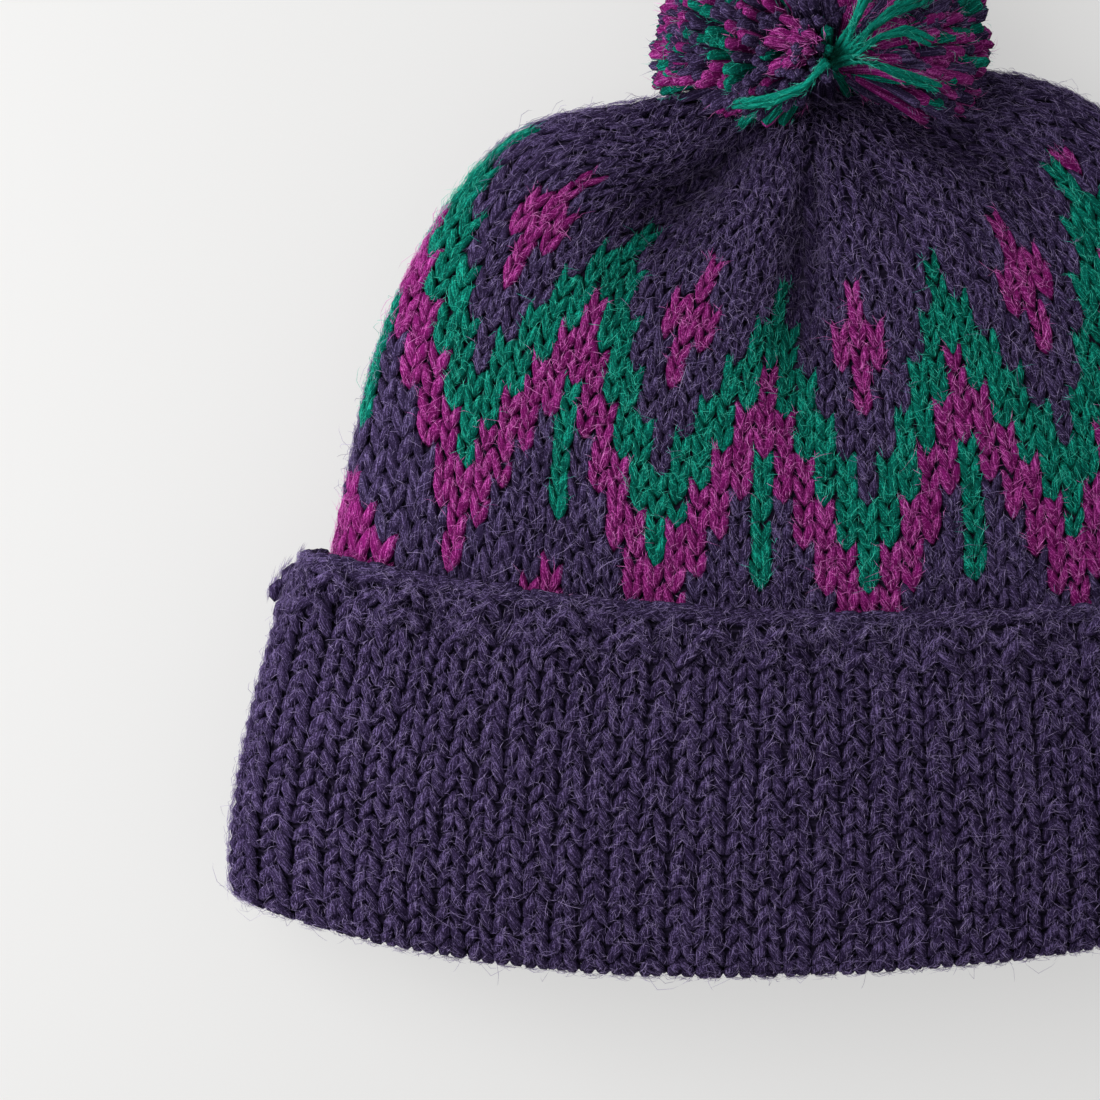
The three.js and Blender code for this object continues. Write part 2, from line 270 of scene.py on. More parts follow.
def woolFinish(name, yarn):        # plied yarn: a slow twist, and fibres that run along it
    finish = Finish(name)
    # tone: random for each leg and strand, and lowered in the folds as painted shade
    tone = finish.node("ShaderNodeAttribute", {"attribute_name": "tone"}, {}, 2)
    around, along = finish.yarnPlace()
    place = finish.node("ShaderNodeTexCoord", {}, {}, 3)
    ply = ((around * twist["plies"] + along * twist["turns"]) * math.tau).sine() * 0.5 + 0.5
    strands = finish.node("ShaderNodeCombineXYZ", {}, {
        "X": around * twist["across"] + along * twist["slant"],
        "Y": along * twist["length"],
        "Z": tone * twist["shift"],
    })
    fibre = finish.noise(strands, 1.0, 3.0, 0.6)
    fine = finish.noise(place, woolLook["fineScale"], 3.0)
    patch = finish.noise(place, woolLook["patchScale"], 2.0)
    even = woolLook["even"]
    base = finish.mix(tone * even + patch * even + ply * even - woolLook["darken"], yarn["dark"], yarn["mid"])
    streaks = (fibre - 0.5) * woolLook["fibre"] + (fine - 0.5) * woolLook["fine"]
    base = finish.mix(streaks * (tone * 0.8 + 0.6), base, yarn["light"])
    height = ply * even + fibre * 1.0 + fine * 0.5
    bump = finish.node("ShaderNodeBump", {}, {
        "Height": height, "Strength": 1.0, "Distance": woolLook["depth"]})
    return finish.surface(Base_Color=base, Normal=bump, Roughness=0.9, Specular_IOR_Level=0.06)


wools = {name: woolFinish(name + "Wool", yarn) for name, yarn in yarns.items()}

shellLook = {"dark": colour(0.016, 0.011, 0.03), "light": colour(0.045, 0.032, 0.075), "fineScale": 1500.0,
             "strength": 0.9, "depth": 1.2 * mm}


def shellFinish(name):        # the back of the knitting: rows of small purl bumps
    finish = Finish(name)
    stitch, row = finish.yarnPlace()
    bumps = (row * math.tau).sine() * 0.5 + ((stitch * math.tau + row * math.pi).sine() * 0.3 + 0.5)
    place = finish.node("ShaderNodeTexCoord", {}, {}, 3)
    fine = finish.noise(place, shellLook["fineScale"], 4.0)
    base = finish.mix(bumps * 0.6 + fine * 0.4, shellLook["dark"], shellLook["light"])
    bump = finish.node("ShaderNodeBump", {}, {
        "Height": bumps + fine * 0.5, "Strength": shellLook["strength"], "Distance": shellLook["depth"]})
    return finish.surface(Base_Color=base, Normal=bump, Roughness=0.95, Specular_IOR_Level=0.1)


purlSide = shellFinish("purlSide")


def fuzzFinish(name):        # loose fibres, each tinted by the wool that it comes from, and darker in the folds as painted shade
    finish = Finish(name)
    tint = finish.node("ShaderNodeAttribute", {"attribute_name": "tint"}, {}, 0)
    return finish.surface(Base_Color=tint, Roughness=0.8, Specular_IOR_Level=0.2)


looseFibre = fuzzFinish("looseFibre")


def finishPiece(piece, material, node):
    piece.data.materials.append(material)
    scene.collection.objects.link(piece)
    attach(piece, "root")
    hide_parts(node)
    return piece


bluntEnd = {"round": -0.6, "flat": 0.4}        # powers that make a ball a cylinder with rounded ends


# A yarn grain: a low sphere that every leg, strand and fibre is shaped from, long along Z
def makeGrain(sides, rings, blunt=False):
    bm = bmesh.new()
    uvLayer = bm.loops.layers.uv.new("yarn")
    bmesh.ops.create_uvsphere(bm, u_segments=sides, v_segments=rings, radius=1, calc_uvs=True)
    bm.verts.index_update()
    points = np.array([(vert.co.y, -vert.co.x, vert.co.z) for vert in bm.verts])        # turned, seam below
    if blunt:
        flat, height = points[:, :2], points[:, 2:]
        ring = np.maximum(np.linalg.norm(flat, axis=1, keepdims=True), 1e-6)
        points = np.hstack((flat * ring ** bluntEnd["round"], signedPower(height, bluntEnd["flat"])))
    # Blender may list the faces in another order each run
    faces = sorted(bm.faces, key=lambda face: [vert.index for vert in face.verts])
    grain = {"points": points, "sizes": np.array([len(face.loops) for face in faces])}
    grain["corners"] = np.array([loop.vert.index for face in faces for loop in face.loops])
    grain["uvs"] = np.array([loop[uvLayer].uv[:] for face in faces for loop in face.loops])
    bm.free()
    return grain


def joinGrains(name, grain, points, tone=None, tint=None):        # points: one row of vertices for each copy
    copies, verts = points.shape[:2]
    corners, faces = len(grain["corners"]), len(grain["sizes"])
    mesh = bpy.data.meshes.new(name)
    mesh.vertices.add(copies * verts)
    mesh.vertices.foreach_set("co", points.astype(np.float32).ravel())
    mesh.loops.add(copies * corners)
    shift = np.arange(copies)[:, None]
    mesh.loops.foreach_set("vertex_index", (grain["corners"] + shift * verts).astype(np.int32).ravel())
    starts = np.concatenate(((0,), np.cumsum(grain["sizes"])[:-1]))
    mesh.polygons.add(copies * faces)
    mesh.polygons.foreach_set("loop_start", (starts + shift * corners).astype(np.int32).ravel())
    mesh.polygons.foreach_set("loop_total", np.tile(grain["sizes"], copies).astype(np.int32))
    mesh.update(calc_edges=True)
    mesh.polygons.foreach_set("use_smooth", np.ones(copies * faces, bool))
    uvs = np.tile(grain["uvs"], (copies, 1)).astype(np.float32)
    mesh.uv_layers.new(name="yarn").data.foreach_set("uv", uvs.ravel())
    if tone is not None:
        layer = mesh.attributes.new("tone", "FLOAT", "POINT")
        layer.data.foreach_set("value", np.repeat(tone, verts).astype(np.float32))
    if tint is not None:
        layer = mesh.attributes.new("tint", "FLOAT_COLOR", "POINT")
        layer.data.foreach_set("color", np.repeat(tint, verts, axis=0).astype(np.float32).ravel())
    return bpy.data.objects.new(name, mesh)


# Stitches are wider at the edges of the front, from one place across to another, and narrower behind
edgeStretch = {"share": 0.25, "across": (0.76, 0.9), "turn": 4.0}


def rowAngles(rows, folds, along, count):
    turn = np.linspace(0, math.tau, hatForm["turnSteps"] + 1)
    points = hatPoint(rows, folds, along, math.pi / 2 - turn)
    middle = math.pi / 2 - (turn[:-1] + turn[1:]) / 2
    across = np.abs(np.cos(middle)) ** (2 / hatForm["boxiness"])
    front = np.clip(np.sin(middle) * edgeStretch["turn"], -1, 1)
    step = 1 - edgeStretch["share"] * smoothStep(across, *edgeStretch["across"]) * front
    length = np.concatenate(((0,), np.cumsum(np.linalg.norm(np.diff(points, axis=0), axis=1) * step)))
    share = np.arange(2 * count) / (2 * count)        # middles and sides of the stitches by turns
    return math.pi / 2 - np.interp(share * length[-1], length, turn)


# Stitch cells between the rows of a path, each (rows, folds, along, depth) in knitting order
def knitCells(path, count):
    grid, sunk = [], []
    for rows, folds, along, depth in path:
        angle = rowAngles(rows, folds, along, count)
        across = signedPower(np.cos(angle), 2 / hatForm["boxiness"])
        grid.append(layerPoint(rows, folds, along, depth, angle))
        sunk.append(foldDepth(folds, across, np.full_like(across, along)) * (np.sin(angle) > 0))
    grid, sunk = np.array(grid), np.array(sunk)
    low, high = grid[:-1], grid[1:]
    sides = (low + high)[:, 1::2] / 2
    cells = {"middle": (low + high)[:, ::2] / 2, "across": sides - np.roll(sides, 1, axis=1)}
    cells["up"] = (high - low)[:, ::2]
    cells["sunk"] = (sunk[:-1] + sunk[1:])[:, ::2] / 2
    cells["normal"] = unit(np.cross(cells["across"], cells["up"]))
    row, stitch = np.meshgrid(np.arange(len(low)), np.arange(count), indexing="ij")
    cells.update(row=row, stitch=np.where(stitch < count / 2, stitch, stitch - count))
    return {name: value.reshape(-1, *value.shape[2:]) for name, value in cells.items()}


def pick(cells, keep):
    return {name: value[keep] for name, value in cells.items()}


legGrain = makeGrain(6, 4)
# A stitch's legs, in shares of its cell and in mm off it, and how far each leg may differ
legForm = {"offset": 0.235, "lean": 0.22, "width": 0.57, "length": 1.5, "thick": 1.0, "lift": 0.25,
           "sink": 0.65, "fullWidth": 4.2}
legSpread = {"size": (0.9, 1.12), "slip": 0.045, "lean": (0.75, 1.25), "lift": 0.1}
yarnTone = {"mean": 0.5, "laidMean": 0.55, "spread": 0.25}
foldShade = {"yarn": 0.065, "fibre": 0.055}        # painted shade down in the folds: legs get a lower tone and fibres a darker tint, for each mm of fold depth


def yarnTones(count, mean="mean"):
    return rng.normal(yarnTone[mean], yarnTone["spread"], count)


def layLegs(name, cells, form, flip=1):        # two leaning legs to a stitch; flip -1 turns the V over
    count = len(cells["row"])
    x, y, t = legGrain["points"].T
    points, tones = [], []
    for side in (-1, 1):
        size = rng.uniform(*legSpread["size"], (count, 1))
        slip = rng.normal(0, legSpread["slip"], (count, 2))
        lean = flip * form["lean"] * rng.uniform(*legSpread["lean"], (count, 1))
        narrow = np.minimum(1, np.linalg.norm(cells["across"], axis=1) / form["fullWidth"])[:, None]
        a = side * (form["offset"] + lean * t) - x * form["width"] / 2 * size + slip[:, :1]
        b = t * form["length"] / 2 * size + slip[:, 1:]
        c = form["lift"] + rng.normal(0, legSpread["lift"], (count, 1))
        c = c + y * form["thick"] * size - form["sink"] * t * t
        spot = cells["middle"][:, None] + a[..., None] * cells["across"][:, None]
        spot = spot + b[..., None] * cells["up"][:, None] + (c * narrow)[..., None] * cells["normal"][:, None]
        points.append(spot)
        # painted shade: legs down in the folds get a lower tone
        tones.append(np.clip(yarnTones(count) - foldShade["yarn"] * cells["sunk"], 0, 1))
    return joinGrains(name, legGrain, inFrame(np.concatenate(points)), np.concatenate(tones))


# The crown's chart: a zigzag of two colours with a stem under each peak and a lozenge over each dip
chart = {"repeat": 10, "phase": 2, "stripe": 4, "slope": 2, "stem": (0, 5), "lozenge": (8, 13),
         "wings": (10, 11), "lowPeak": -3, "stray": (52.9, 183.6)}


def chartColour(row, stitch):
    column = (stitch - chart["phase"]) % chart["repeat"]
    toDip = np.minimum(column, chart["repeat"] - column)
    toPeak = chart["repeat"] // 2 - toDip
    rise = row - chart["slope"] * toDip
    green = (rise >= 0) & (rise < chart["stripe"])
    green |= (toPeak == 0) & (row >= chart["stem"][0]) & (row <= chart["stem"][1])
    magenta = (rise < 0) & (rise >= -chart["stripe"])
    magenta |= (toDip == 0) & (row >= chart["lozenge"][0]) & (row <= chart["lozenge"][1])
    magenta |= (toDip == 1) & (row >= chart["wings"][0]) & (row <= chart["wings"][1])
    magenta |= (row <= chart["lowPeak"] - toPeak) & (row > chart["lowPeak"] - toPeak - chart["stripe"])
    return np.where(green, "green", np.where(magenta, "magenta", "purple"))


crownKnit = {"stitches": 100, "plainRow": 14, "start": 86.9, "rowHeight": 4.844, "plainHeight": 4.44,
             "depth": 1.15, "underCuff": 7.0, "gatherGap": 1.5}
# First row, last row and stitches, fewer at each step towards the gather
decreases = ((-8, 14, 100), (14, 16, 88), (16, 18, 72), (18, 20, 56), (20, 22, 40), (22, 24, 24))


def crownAlong(row):
    plain = max(0, row - crownKnit["plainRow"])
    along = crownKnit["start"] + (row - plain) * crownKnit["rowHeight"] + plain * crownKnit["plainHeight"]
    return min(along, hatForm["gather"] - crownKnit["gatherGap"])


def knitCrown():
    folds, depth, parts = crownFolds + creases, crownKnit["depth"], []
    for first, last, count in decreases:
        path = [(crownRows, folds, crownAlong(row), depth) for row in range(first, last + 1)]
        parts.append(knitCells(path, count))
        parts[-1]["row"] = parts[-1]["row"] + first
    cells = {name: np.concatenate([part[name] for part in parts]) for name in parts[0]}
    x, y = cells["middle"][:, 0], cells["middle"][:, 1]
    edge = cuffRows[-1]
    cells = pick(cells, y > edge[0] + edge[2] * (x / edge[1]) ** 2 - crownKnit["underCuff"])
    plain = cells["row"] >= crownKnit["plainRow"]
    cells["yarn"] = np.where(plain, "purple", chartColour(cells["row"], cells["stitch"]))
    away = np.linalg.norm(cells["middle"][:, :2] - chart["stray"], axis=1)
    away[cells["normal"][:, 2] <= 0] = np.inf
    cells["yarn"][np.argmin(away)] = "magenta"        # one coloured stitch strays above the rest
    for name in yarns:
        piece = layLegs("crown" + name.capitalize(), pick(cells, cells["yarn"] == name), legForm)
        finishPiece(piece, wools[name], "crown")
    return cells


crownCells = knitCrown()
print("crown knitted:", len(crownCells["row"]), "stitches")

# The cuff: plain stitches the other way up, round the fold and a little way inside
cuffKnit = {"stitches": 90, "rowHeight": 4.0, "top": 78.4, "depth": 1.15, "insideRows": 6, "foldRows": 3}
cuffLeg = dict(legForm, width=0.47, lean=0.2, length=1.55, thick=1.25, lift=0.3, sink=1.0, fullWidth=5.5)


def cuffPath():        # from inside the mouth, round the fold and up the outside
    radius, depth = hatForm["foldRadius"], cuffKnit["depth"]
    foldTop = hatForm["foldAt"] + radius
    path = []
    for i in range(cuffKnit["insideRows"], 0, -1):
        path.append((crownRows, (), crownRows[0][0] + i * cuffKnit["rowHeight"], hatForm["layer"] - depth))
    for turn in np.linspace(0, math.pi, cuffKnit["foldRows"] + 1):
        along = foldTop - (radius - depth) * math.sin(turn)
        path.append((cuffRows, (), along, radius + (radius - depth) * math.cos(turn)))
    rows = round((cuffKnit["top"] - foldTop) / cuffKnit["rowHeight"])
    for along in np.linspace(foldTop, cuffKnit["top"], rows + 1)[1:]:
        path.append((cuffRows, (), along, depth))
    return path


def knitCuff():
    cells = knitCells(cuffPath(), cuffKnit["stitches"])
    inside = cells["row"] < cuffKnit["insideRows"]
    outside, lining = pick(cells, ~inside), pick(cells, inside)
    for name, part, node in (("cuffStitches", outside, "cuff"), ("mouthStitches", lining, "crown")):
        finishPiece(layLegs(name, part, cuffLeg, -1), wools["purple"], node)
    return outside


cuffCells = knitCuff()
print("cuff knitted:", len(cuffCells["row"]), "stitches")

# The cast-on edge: a rough ridge of knots under a cord of long stitches
edgeForm = {"knots": 62, "ridge": (69.5, 74.4, 79.0), "ridgeDepth": 0.9, "proud": (-0.48, 1.2),
            "cordStitches": 170, "cord": (78.6, 82.6), "cordDepth": 1.6, "ragged": 0.12, "raggedLift": 2.5,
            "raggedLength": (0.8, 1.25), "loose": (-0.7, 0.0, 0.0)}
knotLeg = dict(legForm, offset=0.25, lean=0.3, width=0.42, length=1.1, thick=1.5, lift=0.9, sink=1.2,
               fullWidth=6.0)
cordLeg = dict(legForm, offset=0.2, lean=0.12, width=0.62, length=1.9, thick=1.5, lift=0.4, sink=0.8,
               fullWidth=3.0)


def raggedCells(cells, share):        # each stitch pulled its own way, by a share of its size
    count = len(cells["row"])
    pull = rng.normal(0, share, (count, 2))
    middle = cells["middle"] + pull[:, :1] * cells["across"] + pull[:, 1:] * cells["up"]
    middle = middle + rng.normal(0, edgeForm["raggedLift"] * share, (count, 1)) * cells["normal"]
    up = cells["up"] * rng.uniform(*edgeForm["raggedLength"], (count, 1))
    return dict(cells, middle=middle, up=up, yarn=np.full(count, "purple"))


def knitEdge():
    path = [(cuffRows, (), along, edgeForm["ridgeDepth"]) for along in edgeForm["ridge"]]
    ridge = raggedCells(knitCells(path, edgeForm["knots"]), edgeForm["ragged"])
    low, high = edgeForm["proud"]        # every other knot stands out
    ridge["middle"] += np.where(ridge["stitch"] % 2, high, low)[:, None] * ridge["normal"]
    ridge["middle"][np.argmin(ridge["middle"][:, 0])] += edgeForm["loose"]        # one at the left most
    finishPiece(layLegs("cuffKnots", ridge, knotLeg, -1), wools["purple"], "cuff")
    path = [(cuffRows, (), along, edgeForm["cordDepth"]) for along in edgeForm["cord"]]
    cord = knitCells(path, edgeForm["cordStitches"])
    cord = dict(cord, across=-cord["up"], up=cord["across"])        # its stitches run round the hat
    cord = raggedCells(cord, edgeForm["ragged"] / 2)
    finishPiece(layLegs("cuffCord", cord, cordLeg, -1), wools["purple"], "cuff")
    return ridge, cord


ridgeCells, cordCells = knitEdge()
print("cast-on edge made")


# Shells behind the stitches, from a grid wrapped round the hat
def layShell(name, rows, folds, path, stitches, node, columns=150):
    bm = bmesh.new()
    uvLayer = bm.loops.layers.uv.new("yarn")
    bmesh.ops.create_grid(bm, x_segments=columns, y_segments=len(path) - 1, size=0.5)
    bm.verts.index_update()
    flat = np.array([vert.co[:2] for vert in bm.verts]) + 0.5
    level = np.rint(flat[:, 1] * (len(path) - 1)).astype(int)
    along, depth = np.array(path).T
    points = inFrame(layerPoint(rows, folds, along[level], depth[level], -math.tau * flat[:, 0]))
    for face in bm.faces:
        for loop in face.loops:
            u, v = flat[loop.vert.index]
            loop[uvLayer].uv = (u * stitches, v * len(path) * 2)
    for vert, point in zip(bm.verts, points):
        vert.co = point
    bmesh.ops.remove_doubles(bm, verts=bm.verts, dist=shellSpot["weld"] * mm)
    rim = [edge for edge in bm.edges if edge.is_boundary]
    if rim:
        bmesh.ops.edgeloop_fill(bm, edges=rim)
    bmesh.ops.recalc_face_normals(bm, faces=bm.faces)
    for face in bm.faces:
        face.smooth = True
    mesh = bpy.data.meshes.new(name)
    bm.to_mesh(mesh)
    bm.free()
    return finishPiece(bpy.data.objects.new(name, mesh), purlSide, node)


shellSpot = {"front": 2.3, "gatherGap": 2.0, "hollowEnd": 184.0, "cuffTop": 80.0, "lip": 8.7, "weld": 0.05}
shellSteps = {"crownOut": 40, "crownIn": 36, "cuffOut": 20, "fold": 7, "cuffIn": 18}


def crownShellPath():
    start, gather = crownRows[0][0], hatForm["gather"]
    outside = np.linspace(gather - shellSpot["gatherGap"], start, shellSteps["crownOut"])
    inside = np.linspace(start, shellSpot["hollowEnd"], shellSteps["crownIn"])
    path = [(gather, 0.0)] + [(along, shellSpot["front"]) for along in outside]
    return path + [(along, hatForm["layer"]) for along in inside]


def cuffShellPath():
    radius, front, layer = hatForm["foldRadius"], shellSpot["front"], hatForm["layer"]
    foldTop = hatForm["foldAt"] + radius
    top, lip = shellSpot["cuffTop"], shellSpot["lip"]
    path = [(along, front) for along in np.linspace(top, foldTop, shellSteps["cuffOut"])]
    for turn in np.linspace(0, math.pi, shellSteps["fold"])[1:]:
        path.append((foldTop - (radius - front) * math.sin(turn), radius - (radius - front) * math.cos(turn)))
    path += [(lip, 2 * radius - front), (lip, layer)]
    path += [(along, layer) for along in np.linspace(lip, top, shellSteps["cuffIn"])[1:]]
    return path + path[:1]


layShell("crownShell", crownRows, crownFolds + creases, crownShellPath(), crownKnit["stitches"], "crown")
layShell("cuffShell", cuffRows, (), cuffShellPath(), cuffKnit["stitches"], "cuff")
print("shells made")

# The pompom: cut yarn standing out from a tied core, parted over the knot
pompom = {
    "centre": np.array((0.0, 205.5, 31.0)), "radius": 37.5,
    "heart": np.array((0.5, 203.0, 41.0)), "knot": np.array((0.5, 201.5, 45.0)),
    "strands": 2600, "scatter": 0.035, "trim": (0.985, 0.02), "root": 8.0, "bend": 1.6,
    "yarn": 1.35, "swell": (0.75, 0.35), "sizes": (0.85, 1.15),
    "sweep": 0.45, "sweepFrom": (0.3, 0.85), "crownGap": 0.8, "hemHeight": 20.0,
    "cleftLean": 0.32, "cleftRadius": 2.5, "cleftSlope": 0.3,
    "clumps": 1300, "clumpEdge": 0.03, "wools": (0.46, 0.3, 0.24),
    "darkWays": ((-2.1, -0.62), (1.45, 2.05)), "darkReach": 24.0,
}
pompomHem = np.array((        # across and along, where it ends over the crown in two lobes
    (-42.0, 201.0), (-31.0, 197.5), (-21.0, 190.0), (-12.0, 189.5), (-4.0, 194.0), (0.5, 197.5), (8.0, 196.0),
    (24.0, 192.5), (29.0, 190.5), (37.0, 199.0), (42.0, 201.0),
))
strandGrain = makeGrain(5, 6, blunt=True)
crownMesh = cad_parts["crown"].data
crownTree = BVHTree.FromPolygons([vert.co for vert in crownMesh.vertices],
                                 [face.vertices for face in crownMesh.polygons])


def spreadDirections(count):
    i = np.arange(count) + 0.5
    height = 1 - 2 * i / count
    turn = i * math.pi * (3 - math.sqrt(5))
    ring = np.sqrt(1 - height * height)
    return np.stack((ring * np.cos(turn), ring * np.sin(turn), height), axis=1)


def strandReach(direction):        # shorter towards the crown, and stopped by the crown and the table
    sweep = pompom["sweep"] * smoothStep(-direction[:, 1], *pompom["sweepFrom"])
    reach = pompom["radius"] * (1 - sweep)
    down = np.minimum(direction[:, 2], -1e-6)
    reach = np.minimum(reach, np.where(direction[:, 2] < 0, pompom["centre"][2] / -down, reach))
    start = Vector(inFrame(pompom["centre"]))
    for i, way in enumerate(direction):
        hit = crownTree.ray_cast(start, Vector(way), reach[i] * mm)
        if hit[0] is not None:
            reach[i] = hit[3] / mm - pompom["crownGap"]
    return reach


def outOfCleft(points):        # true where a point isn't in the parting above the knot
    away = points - pompom["knot"]
    axis = np.array((math.sin(pompom["cleftLean"]), 0, math.cos(pompom["cleftLean"])))
    up = away @ axis
    side = np.linalg.norm(away - up[:, None] * axis, axis=1)
    return (up < 0) | (side > pompom["cleftRadius"] + pompom["cleftSlope"] * up)


def insideHem(points):
    return (points[:, 2] < pompom["hemHeight"]) | (points[:, 1] > np.interp(points[:, 0], *pompomHem.T))


def sideways(direction):        # two directions square to each one
    steep = np.abs(direction[:, 2:]) >= 0.9
    helper = np.where(steep, (1.0, 0.0, 0.0), (0.0, 0.0, 1.0))
    first = unit(np.cross(direction, helper))
    return first, np.cross(direction, first)


def clumpColours(direction):        # the yarn was wound on colour by colour, so it shows in clumps
    seeds = unit(rng.normal(0, 1, (pompom["clumps"], 3)))
    seedColour = rng.choice(list(yarns), pompom["clumps"], p=pompom["wools"])
    near = unit(direction + rng.normal(0, pompom["clumpEdge"], direction.shape))
    return seedColour[np.argmax(near @ seeds.T, axis=1)]


def layStrands(names, points, tone, piece):
    for name in yarns:
        mine = names == name
        if not mine.any():
            continue
        strands = joinGrains(piece + name.capitalize(), strandGrain, inFrame(points[mine]), tone[mine])
        finishPiece(strands, wools[name], "pompom")


def standStrands():        # cut ends, all round the ball
    count = pompom["strands"]
    direction = unit(spreadDirections(count) + rng.normal(0, pompom["scatter"], (count, 3)))
    reach = strandReach(direction) * rng.normal(*pompom["trim"], count)
    tips = pompom["centre"] + direction * reach[:, None]
    keep = (reach > 2 * pompom["root"]) & outOfCleft(tips) & insideHem(tips)
    direction, reach, tips = direction[keep], reach[keep], tips[keep]
    tips = tips - fanForm["clear"] * underFan(tips, direction)[:, None] * direction
    names = clumpColours(direction)
    away = tips[:, :2] - pompom["heart"][:2]
    heading, far = np.arctan2(away[:, 1], away[:, 0]), np.linalg.norm(away, axis=1)
    for low, high in pompom["darkWays"]:        # only the dark yarn shows straight above and below the knot
        names[(heading > low) & (heading < high) & (far < pompom["darkReach"])] = "purple"
    way = unit(tips - pompom["heart"])        # every strand fans out from the tied heart
    first, second = sideways(way)
    x, y, t = strandGrain["points"].T
    part = t * 0.5 + 0.5
    length = np.linalg.norm(tips - pompom["heart"], axis=1)[:, None]
    along = pompom["root"] + (length - pompom["root"]) * part
    bend = rng.normal(0, pompom["bend"], (len(tips), 2))
    thin, thicken = pompom["swell"]
    swell = pompom["yarn"] * (thin + thicken * part) * rng.uniform(*pompom["sizes"], (len(tips), 1))
    points = pompom["heart"] + along[..., None] * way[:, None]
    points = points + (x * swell + bend[:, :1] * part ** 2)[..., None] * first[:, None]
    points = points + (y * swell + bend[:, 1:] * part ** 2)[..., None] * second[:, None]
    layStrands(names, points, np.clip(yarnTones(len(tips)), 0, 1), "pompom")
    ends = tips + bend[:, :1] * first + bend[:, 1:] * second
    return ends, way, names


# Strands that lie over from the knot: headings in plan, lengths in mm and the share of each wool
fans = (
    {"piece": "pompomLaid", "count": 120, "heading": (-0.32, 1.77), "length": (15.0, 36.0),
     "wools": (0.46, 0.42, 0.12)},
    {"piece": "pompomTuft", "count": 20, "heading": (2.5, 3.4), "length": (8.0, 16.0),
     "wools": (0.0, 1.0, 0.0)},
)
fanForm = {"yarn": 1.5, "clear": 2.6, "clearPast": 2.0, "clearUp": 0.3, "upright": 1.2, "start": 2.5,
           "startHeight": 2.0, "liftAt": 0.42, "lift": 3.0, "rim": 1.0, "sunk": (0.0, 2.5)}


def underFan(tips, direction):        # standing strands that make room for the ones laid over them
    away = tips[:, :2] - pompom["knot"][:2]
    heading, far = np.arctan2(away[:, 1], away[:, 0]), np.linalg.norm(away, axis=1)
    under = np.zeros(len(tips), bool)
    for fan in fans:
        low, high = fan["heading"]
        under |= (heading > low) & (heading < high) & (far < fan["length"][1] + fanForm["clearPast"])
    return under & (direction[:, 2] > fanForm["clearUp"])


def layFan(fan):
    count, centre, knot = fan["count"], pompom["centre"], pompom["knot"]
    heading = rng.uniform(*fan["heading"], count)
    way = np.stack((np.cos(heading), np.sin(heading)), axis=1)
    plan = knot[:2] + way * rng.uniform(*fan["length"], count)[:, None]
    radius = pompom["radius"] - fanForm["yarn"]
    away = plan - centre[:2]
    inward = np.minimum(1, (radius - fanForm["rim"]) / np.linalg.norm(away, axis=1))
    plan = centre[:2] + away * inward[:, None]

    def onBall(spot, sink):
        height = np.sqrt(np.maximum((radius - sink) ** 2 - ((spot - centre[:2]) ** 2).sum(1), 0))
        return np.column_stack((spot, centre[2] + height))

    end = onBall(plan, rng.uniform(*fanForm["sunk"], count))
    startHeight = np.full(count, knot[2] + fanForm["startHeight"])
    start = np.column_stack((knot[:2] + way * fanForm["start"], startHeight))
    lift = onBall(knot[:2] + (plan - knot[:2]) * fanForm["liftAt"], -fanForm["lift"])
    x, y, t = strandGrain["points"].T
    u = (t * 0.5 + 0.5)[None, :, None]
    route = (1 - u) ** 2 * start[:, None] + 2 * u * (1 - u) * lift[:, None] + u * u * end[:, None]
    out = unit((start + end) / 2 - centre)
    side = unit(np.cross(out, end - start))
    swell = fanForm["yarn"] * rng.uniform(*pompom["sizes"], (count, 1))
    points = route + (x * swell)[..., None] * side[:, None] + (y * swell)[..., None] * out[:, None]
    names = rng.choice(list(yarns), count, p=fan["wools"])
    upright = np.abs(heading - math.pi / 2) < math.pi / 2 - fanForm["upright"]
    names = np.where(upright, "purple", names)        # only the dark yarn stands straight up
    layStrands(names, points, np.clip(yarnTones(count, "laidMean"), 0, 1), fan["piece"])
    return end, unit(end - lift), names


strandSets = [standStrands()] + [layFan(fan) for fan in fans]
pompomEnds, pompomWays, pompomNames = [np.concatenate(values) for values in zip(*strandSets)]
print("pompom made:", len(pompomNames), "strands")

# The tie: doubled green yarn knotted in the parting, its loose ends laid over the pompom
tieForm = {"yarn": 1.5, "strand": 0.68, "apart": 0.64, "turns": 0.6, "twists": 3, "steps": 30,
           "tones": (0.5, 0.9), "knot": 4.0, "knotTilts": (0.0, 1.1, 2.2), "knotTurns": 1.02, "knotLean": 0.3,
           "knotPull": 0.8}
tieYarn = dict(yarns["green"], dark=colour(0.0, 0.03, 0.022), mid=colour(0.002, 0.32, 0.235))
tieWool = woolFinish("tieWool", tieYarn)
tieGrain = makeGrain(8, 24, blunt=True)
tieGrain["uvs"] = tieGrain["uvs"] * (1, tieForm["twists"])        # longer than a stitch, so it twists more
tieEnds = (        # places in plan that each end passes over
    ((3.0, 205.0), (6.5, 212.0), (9.5, 221.0)),
    ((5.0, 203.0), (11.0, 209.0), (20.5, 213.5)),
    ((6.0, 202.0), (14.0, 206.0), (21.5, 204.0)),
    ((5.0, 199.5), (14.0, 197.0), (23.5, 194.5)),
    ((-2.0, 198.5), (-6.0, 194.0), (-13.0, 191.5), (-21.0, 191.0)),
)


def onPompom(x, y):
    radius = pompom["radius"] + tieForm["yarn"]
    away = (x - pompom["centre"][0]) ** 2 + (y - pompom["centre"][1]) ** 2
    return np.array((x, y, pompom["centre"][2] + math.sqrt(radius * radius - away)))


def smoothRoute(points, steps):        # a smooth curve through a few points
    points = np.array(points)
    padded = np.vstack((2 * points[0] - points[1], points, 2 * points[-1] - points[-2]))
    route = []
    for u in np.linspace(0, len(points) - 1, steps):
        i = min(int(u), len(points) - 2)
        p = u - i
        a, b, c, d = padded[i:i + 4]
        route.append(b + 0.5 * p * (c - a + p * (2 * a - 5 * b + 4 * c - d + p * (3 * (b - c) + d - a))))
    return np.array(route)


